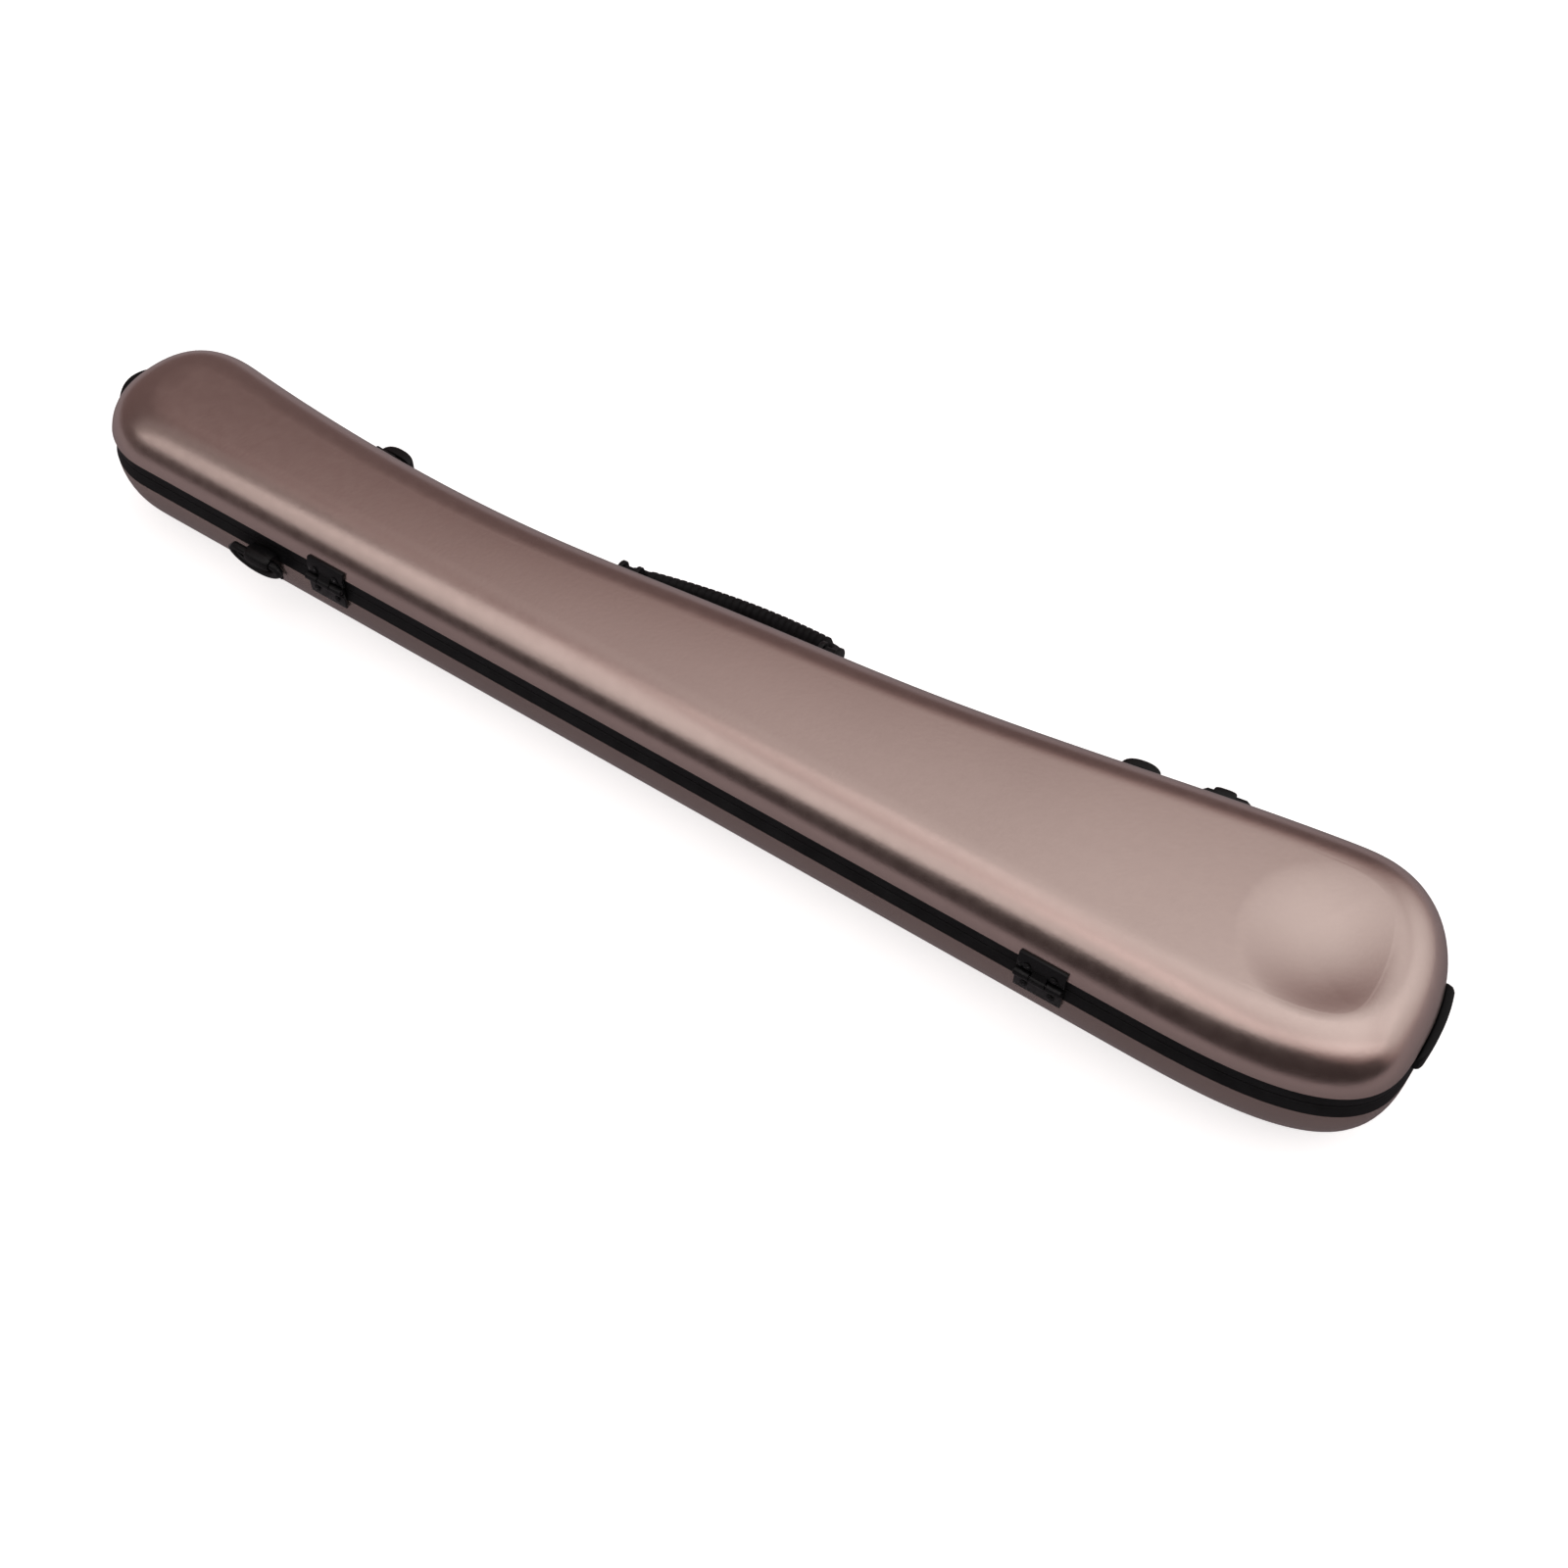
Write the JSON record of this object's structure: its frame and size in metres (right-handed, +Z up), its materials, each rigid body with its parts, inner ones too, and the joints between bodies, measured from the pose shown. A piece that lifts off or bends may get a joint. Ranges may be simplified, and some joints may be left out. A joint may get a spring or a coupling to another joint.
{
  "type": "bow case",
  "caption": "Long hard bow case with one straight and one waisted side, domed hinged lid, black rim bands, latches, ribbed carrying handle, strap rings and plush-lined beds for bows.",
  "frame": {"origin": "on the flat of the bottom, half way along the moulded case and 50 mm in from the widest line of the straight hinge side", "axes": "+X from the narrow end to the wide end, +Y from the hinge side to the latch side, +Z up towards the lid"},
  "size_m": [0.8483, 0.1646, 0.0861],
  "materials": {
    "shell_paint": "satin rose-brown metallic paint on a moulded shell",
    "band_rubber": "matt black",
    "plush": "short-pile wine-red plush",
    "padded_plush": "wine-red plush over foam",
    "black_plastic": "fine-grained black",
    "black_metal": "satin black coating",
    "steel": "plain bright steel"
  },
  "bodies": {
    "base": {"base_lining": "plush", "base_rim_band": "band_rubber", "base_shell": "shell_paint", "button_post_1": "steel", "button_post_2": "steel", "button_post_3": "steel", "frog_bed": "padded_plush", "handle_bracket_narrow": "black_plastic", "handle_bracket_wide": "black_plastic", "handle_pin_narrow": "steel", "handle_pin_wide": "steel", "head_bed": "padded_plush", "hinge_1_base_leaf": "black_metal", "hinge_1_base_rivet_a": "black_metal", "hinge_1_base_rivet_b": "black_metal", "hinge_1_pin": "steel", "hinge_2_base_leaf": "black_metal", "hinge_2_base_rivet_a": "black_metal", "hinge_2_base_rivet_b": "black_metal", "hinge_2_pin": "steel", "latch_1_pin": "steel", "latch_1_plate": "black_metal", "latch_1_rivet_a": "black_metal", "latch_1_rivet_b": "black_metal", "latch_2_pin": "steel", "latch_2_plate": "black_metal", "latch_2_rivet_a": "black_metal", "latch_2_rivet_b": "black_metal", "narrow_end_loop": "band_rubber", "rim_seal": "band_rubber", "stick_saddle": "padded_plush", "strap_tab_hinge_side": "black_plastic", "strap_tab_latch_side": "black_plastic", "strap_tab_rivet_hinge_side": "black_metal", "strap_tab_rivet_latch_side": "black_metal", "wide_end_grip": "band_rubber"},
    "lid": {"hinge_1_lid_leaf": "black_metal", "hinge_1_lid_rivet_a": "black_metal", "hinge_1_lid_rivet_b": "black_metal", "hinge_2_lid_leaf": "black_metal", "hinge_2_lid_rivet_a": "black_metal", "hinge_2_lid_rivet_b": "black_metal", "latch_1_keeper": "black_metal", "latch_2_keeper": "black_metal", "lid_cushion": "padded_plush", "lid_lining": "plush", "lid_rim_band": "band_rubber", "lid_shell": "shell_paint"},
    "latch_1": {"latch_1_lever": "black_plastic"},
    "latch_2": {"latch_2_lever": "black_plastic"},
    "handle": {"carry_handle": "band_rubber"},
    "ring_hinge_side": {"strap_ring_hinge_side": "black_metal"},
    "ring_latch_side": {"strap_ring_latch_side": "black_metal"},
    "button_1": {"turn_button_1": "black_plastic"},
    "button_2": {"turn_button_2": "black_plastic"},
    "button_3": {"turn_button_3": "black_plastic"}
  },
  "joints": [
    {"name": "lid_hinge", "type": "hinge", "parent": "base", "child": "lid", "pos_m": [0, -0.0526, 0.05349], "axis": [1, 0, 0], "range_deg": [0, 100]},
    {"name": "latch_1_pivot", "type": "hinge", "parent": "base", "child": "latch_1", "pos_m": [-0.2487, 0.0464, 0.037], "axis": [-0.9988, 0.0481, 0], "range_deg": [0, 110]},
    {"name": "latch_2_pivot", "type": "hinge", "parent": "base", "child": "latch_2", "pos_m": [0.2249, 0.08901, 0.037], "axis": [-0.9842, -0.1769, 0], "range_deg": [0, 110]},
    {"name": "handle_pivot", "type": "hinge", "parent": "base", "child": "handle", "pos_m": [-0.01951, 0.06072, 0.049], "axis": [0.9943, 0.1063, 0], "range_deg": [-52, 118]},
    {"name": "ring_hinge_side_pivot", "type": "hinge", "parent": "base", "child": "ring_hinge_side", "pos_m": [-0.2637, -0.0568, 0.0494], "axis": [-1, 0, 0], "range_deg": [-10, 105]},
    {"name": "ring_latch_side_pivot", "type": "hinge", "parent": "base", "child": "ring_latch_side", "pos_m": [0.26583, 0.09692, 0.056], "axis": [0.985, 0.1724, 0], "range_deg": [-10, 150]},
    {"name": "button_1_turn", "type": "hinge", "parent": "base", "child": "button_1", "pos_m": [-0.336, -0.0138, 0.04], "axis": [0, 0, 1], "range_deg": [0, 90]},
    {"name": "button_2_turn", "type": "hinge", "parent": "base", "child": "button_2", "pos_m": [-0.336, 0.0077, 0.04], "axis": [0, 0, 1], "range_deg": [0, 90]},
    {"name": "button_3_turn", "type": "hinge", "parent": "base", "child": "button_3", "pos_m": [-0.336, 0.0292, 0.04], "axis": [0, 0, 1], "range_deg": [0, 90]}
  ]
}
